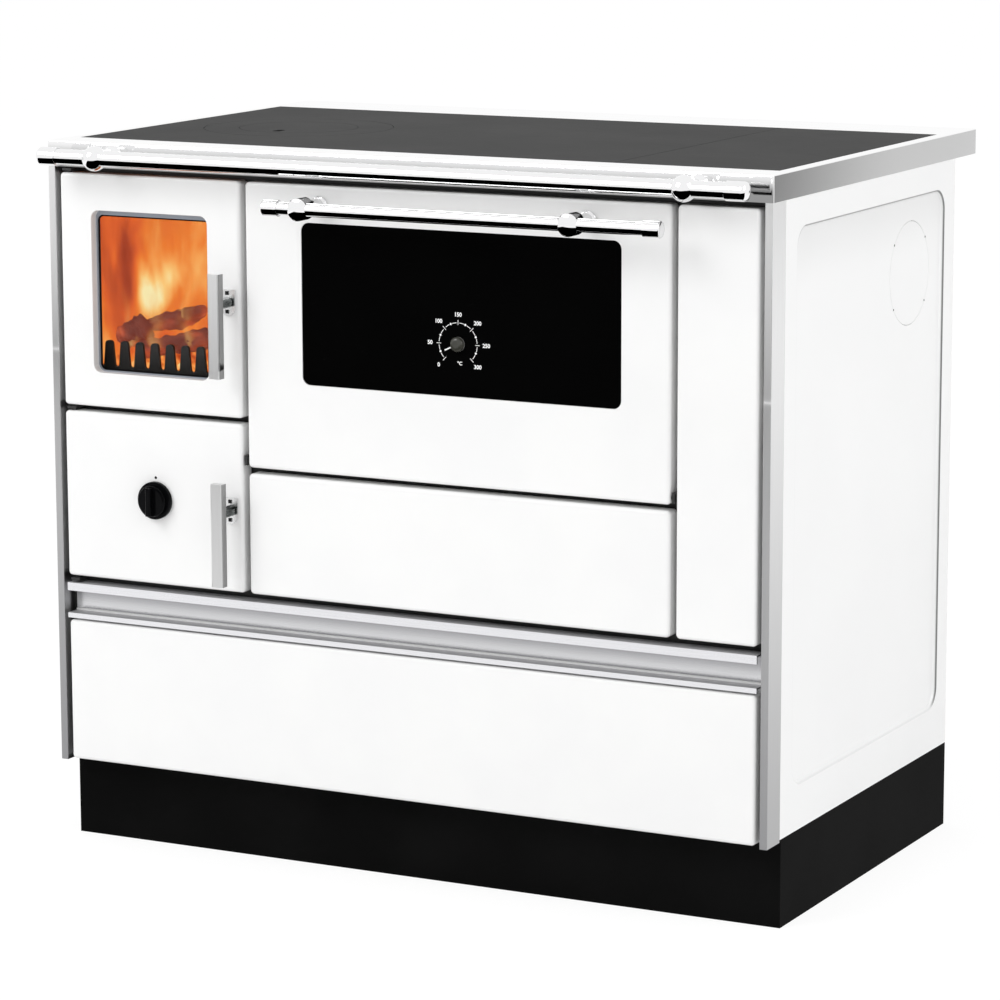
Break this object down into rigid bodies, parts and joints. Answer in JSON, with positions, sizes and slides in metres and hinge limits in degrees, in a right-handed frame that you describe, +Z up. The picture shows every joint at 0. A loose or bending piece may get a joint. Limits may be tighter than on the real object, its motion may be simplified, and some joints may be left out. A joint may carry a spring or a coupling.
{
  "type": "wood cookstove",
  "caption": "Free-standing wood-burning cookstove with a glazed fire door, an ash door, a side oven, an iron hob and a wood drawer.",
  "frame": {"origin": "on the floor, in the middle of the overall width and depth, the rails and the rim's back overhang included", "axes": "+X to the right seen from the front, +Y to the back, where the flue collar is, +Z up"},
  "size_m": [0.9316, 0.6693, 0.85],
  "materials": {
    "white_enamel": "gloss enamel",
    "black_paint": "matt black",
    "dark_steel": "dark heat-proof paint",
    "polished_steel": "polished",
    "chrome": "mirror polished",
    "satin_aluminium": "satin anodised",
    "cast_iron": "rough cast",
    "hob_iron": "fine ground, matt",
    "sheet_steel": "plain mill sheet",
    "firebrick": "dry fired clay",
    "grey_bezel": "satin",
    "clear_glass": "clear heat-proof glass",
    "black_glass": "black, gloss",
    "black_plastic": "gloss black",
    "gasket_cord": "woven glass cord",
    "oven_enamel": "speckled dark enamel",
    "dial_grey": "dark olive grey"
  },
  "bodies": {
    "stove": {"plinth": "black_paint", "base_panel": "sheet_steel", "side_panel_left": "white_enamel", "side_panel_right": "white_enamel", "flue_blank": "white_enamel", "corner_trims": "satin_aluminium", "front_frame": "dark_steel", "hinge_brackets": "dark_steel", "back_panel": "sheet_steel", "top_rim": "polished_steel", "hob_main": "hob_iron", "hob_side": "hob_iron", "towel_rail": "chrome", "towel_rail_fittings": "chrome", "right_panel": "white_enamel", "soot_hatch": "dark_steel", "firebox_shell": "sheet_steel", "firebricks": "firebrick", "grate": "cast_iron", "log_guard": "cast_iron", "ash_pan": "sheet_steel", "oven_box": "oven_enamel", "baking_tray": "oven_enamel", "oven_rack": "chrome", "smoke_casing": "sheet_steel", "flue_box": "sheet_steel", "flue_collar": "sheet_steel", "drawer_runners": "sheet_steel", "drawer_tunnel": "sheet_steel"},
    "fire_door": {"fire_door_panel": "white_enamel", "fire_door_bezel": "grey_bezel", "fire_door_glass": "clear_glass", "fire_door_frame": "dark_steel", "fire_door_gasket": "gasket_cord", "fire_latch_plate": "polished_steel"},
    "fire_handle": {"fire_handle_bar": "satin_aluminium", "fire_latch_spindle": "polished_steel"},
    "ash_door": {"ash_door_panel": "white_enamel", "ash_door_frame": "dark_steel", "ash_door_gasket": "gasket_cord", "ash_latch_plate": "polished_steel"},
    "ash_handle": {"ash_handle_bar": "satin_aluminium", "ash_latch_spindle": "polished_steel"},
    "air_control": {"air_knob": "black_plastic", "air_disc": "sheet_steel"},
    "oven_door": {"oven_door_panel": "white_enamel", "oven_door_glass": "black_glass", "oven_door_frame": "sheet_steel", "oven_door_gasket": "gasket_cord", "oven_rail": "chrome", "oven_rail_fittings": "chrome", "thermometer_body": "sheet_steel"},
    "needle": {"thermometer_needle": "dial_grey"},
    "drawer": {"drawer_front": "white_enamel", "drawer_pull": "satin_aluminium", "drawer_box": "sheet_steel"},
    "cover": {"cleaning_cover": "white_enamel"},
    "flap": {"bypass_flap": "sheet_steel"},
    "ring": {"hob_ring": "hob_iron"},
    "lid": {"hob_lid": "hob_iron"}
  },
  "joints": [
    {"name": "fire_door_hinge", "type": "hinge", "parent": "stove", "child": "fire_door", "pos_m": [-0.441, -0.27115, 0.6745], "axis": [0, 0, -1], "range_deg": [0, 110]},
    {"name": "fire_handle_turn", "type": "hinge", "parent": "fire_door", "child": "fire_handle", "pos_m": [-0.2203, -0.27915, 0.6722], "axis": [0, 1, 0], "range_deg": [0, 90]},
    {"name": "ash_door_hinge", "type": "hinge", "parent": "stove", "child": "ash_door", "pos_m": [-0.441, -0.27115, 0.42875], "axis": [0, 0, -1], "range_deg": [0, 110]},
    {"name": "ash_handle_turn", "type": "hinge", "parent": "ash_door", "child": "ash_handle", "pos_m": [-0.2203, -0.27915, 0.42645], "axis": [0, 1, 0], "range_deg": [0, 90]},
    {"name": "air_knob_turn", "type": "hinge", "parent": "ash_door", "child": "air_control", "pos_m": [-0.3237, -0.27915, 0.43005], "axis": [0, 1, 0], "range_deg": [0, 60]},
    {"name": "oven_door_hinge", "type": "hinge", "parent": "stove", "child": "oven_door", "pos_m": [0.0737, -0.27115, 0.487], "axis": [1, 0, 0], "range_deg": [0, 90], "stiffness_Nm_per_rad": 2, "springref_deg": -57.3},
    {"name": "thermometer_needle_turn", "type": "hinge", "parent": "oven_door", "child": "needle", "pos_m": [0.0805, -0.27915, 0.642], "axis": [0, 1, 0], "range_deg": [-20.3, 249.7], "stiffness_Nm_per_rad": 0.002},
    {"name": "drawer_slide", "type": "slide", "parent": "stove", "child": "drawer", "axis": [0, -1, 0], "range_m": [0, 0.4]},
    {"name": "cover_pull", "type": "slide", "parent": "stove", "child": "cover", "axis": [0, -1, 0], "range_m": [0, 0.06]},
    {"name": "bypass_flap_turn", "type": "hinge", "parent": "stove", "child": "flap", "pos_m": [0.3143, 0.16085, 0.803], "axis": [0, -1, 0], "range_deg": [0, 75]},
    {"name": "hob_ring_lift", "type": "slide", "parent": "stove", "child": "ring", "axis": [0, 0, 1], "range_m": [0, 0.15]},
    {"name": "hob_lid_lift", "type": "slide", "parent": "ring", "child": "lid", "axis": [0, 0, 1], "range_m": [0, 0.15]}
  ]
}
